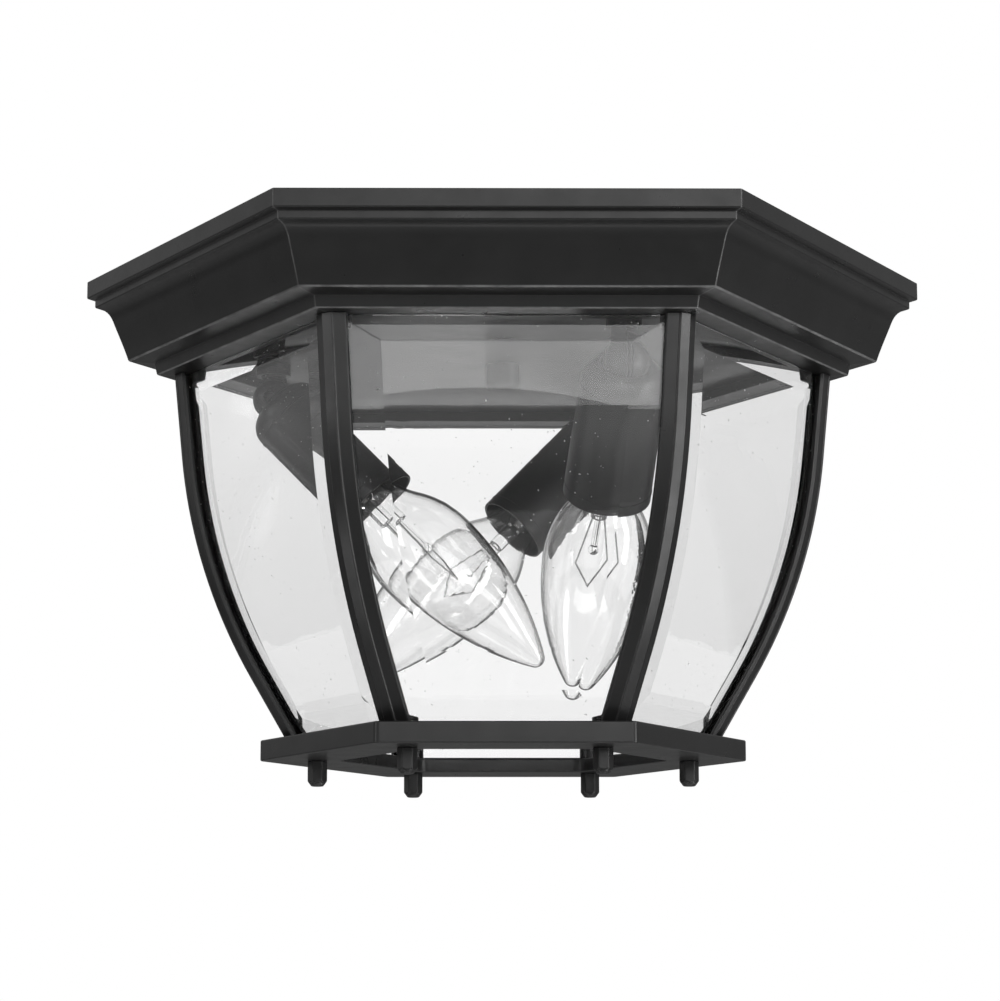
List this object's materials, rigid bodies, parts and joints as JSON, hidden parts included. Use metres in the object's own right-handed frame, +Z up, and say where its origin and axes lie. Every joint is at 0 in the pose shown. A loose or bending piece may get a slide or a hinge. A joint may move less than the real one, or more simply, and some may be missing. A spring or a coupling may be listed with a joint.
{
  "type": "flush mount ceiling light",
  "caption": "Hexagonal black outdoor ceiling lantern with a moulded canopy, bent bevelled glass panels between curved ribs, an open bottom ring and tilted candle lamps on swivels.",
  "frame": {"origin": "centre of the ceiling plane, midway between the two box slots of the mounting strap", "axes": "+Z up into the ceiling, +X through a corner of the hexagon and along the mounting strap, +Y across the flats; the picture looks along +Y"},
  "size_m": [0.3048, 0.264, 0.1846],
  "materials": {
    "black_powder_coat": "satin black powder coat",
    "black_sheet": "smooth semi-gloss black sheet",
    "black_socket": "satin black",
    "panel_glass": "clear bent bevelled glass",
    "bulb_clear_glass": "clear thin glass",
    "zinc_steel": "zinc plated",
    "green_screw": "green ground screw",
    "holder_insulator": "black phenolic",
    "contact_brass": "plain brass",
    "base_metal": "bright screw base",
    "tungsten": "wire"
  },
  "bodies": {
    "lantern": {"crown_canopy": "black_powder_coat", "bottom_ring": "black_powder_coat", "rib_1": "black_powder_coat", "rib_2": "black_powder_coat", "rib_3": "black_powder_coat", "rib_4": "black_powder_coat", "rib_5": "black_powder_coat", "rib_6": "black_powder_coat", "hex_nuts": "black_powder_coat", "cap_nut": "black_powder_coat", "socket_plate": "black_sheet", "swivel_upper_1": "black_socket", "swivel_upper_2": "black_socket", "swivel_upper_3": "black_socket", "pivot_screws": "black_socket", "glass_panel_1": "panel_glass", "glass_panel_2": "panel_glass", "glass_panel_3": "panel_glass", "glass_panel_4": "panel_glass", "glass_panel_5": "panel_glass", "glass_panel_6": "panel_glass", "mounting_strap": "zinc_steel", "mounting_nipple": "zinc_steel", "lock_nuts": "zinc_steel", "rib_screws": "zinc_steel", "cage_studs": "zinc_steel", "ground_screw": "green_screw"},
    "lamp_1": {"socket_cup_1": "black_socket", "swivel_lower_1": "black_socket", "bulb_glass_1": "bulb_clear_glass", "bulb_stem_1": "bulb_clear_glass", "lampholder_1": "holder_insulator", "screw_shell_1": "contact_brass", "centre_contact_1": "contact_brass", "bulb_base_1": "base_metal", "bulb_filament_1": "tungsten"},
    "lamp_2": {"socket_cup_2": "black_socket", "swivel_lower_2": "black_socket", "bulb_glass_2": "bulb_clear_glass", "bulb_stem_2": "bulb_clear_glass", "lampholder_2": "holder_insulator", "screw_shell_2": "contact_brass", "centre_contact_2": "contact_brass", "bulb_base_2": "base_metal", "bulb_filament_2": "tungsten"},
    "lamp_3": {"socket_cup_3": "black_socket", "swivel_lower_3": "black_socket", "bulb_glass_3": "bulb_clear_glass", "bulb_stem_3": "bulb_clear_glass", "lampholder_3": "holder_insulator", "screw_shell_3": "contact_brass", "centre_contact_3": "contact_brass", "bulb_base_3": "base_metal", "bulb_filament_3": "tungsten"}
  },
  "joints": [
    {"name": "lamp_1_swivel", "type": "hinge", "parent": "lantern", "child": "lamp_1", "pos_m": [-0.0814, 0, -0.044], "axis": [-0.1564, -0.9877, 0], "range_deg": [-20, 0]},
    {"name": "lamp_2_swivel", "type": "hinge", "parent": "lantern", "child": "lamp_2", "pos_m": [0.0407, -0.07049, -0.044], "axis": [0.9857, 0.1685, 0], "range_deg": [-14, 12]},
    {"name": "lamp_3_swivel", "type": "hinge", "parent": "lantern", "child": "lamp_3", "pos_m": [0.0407, 0.07049, -0.044], "axis": [-0.309, 0.9511, 0], "range_deg": [-12, 8]}
  ]
}
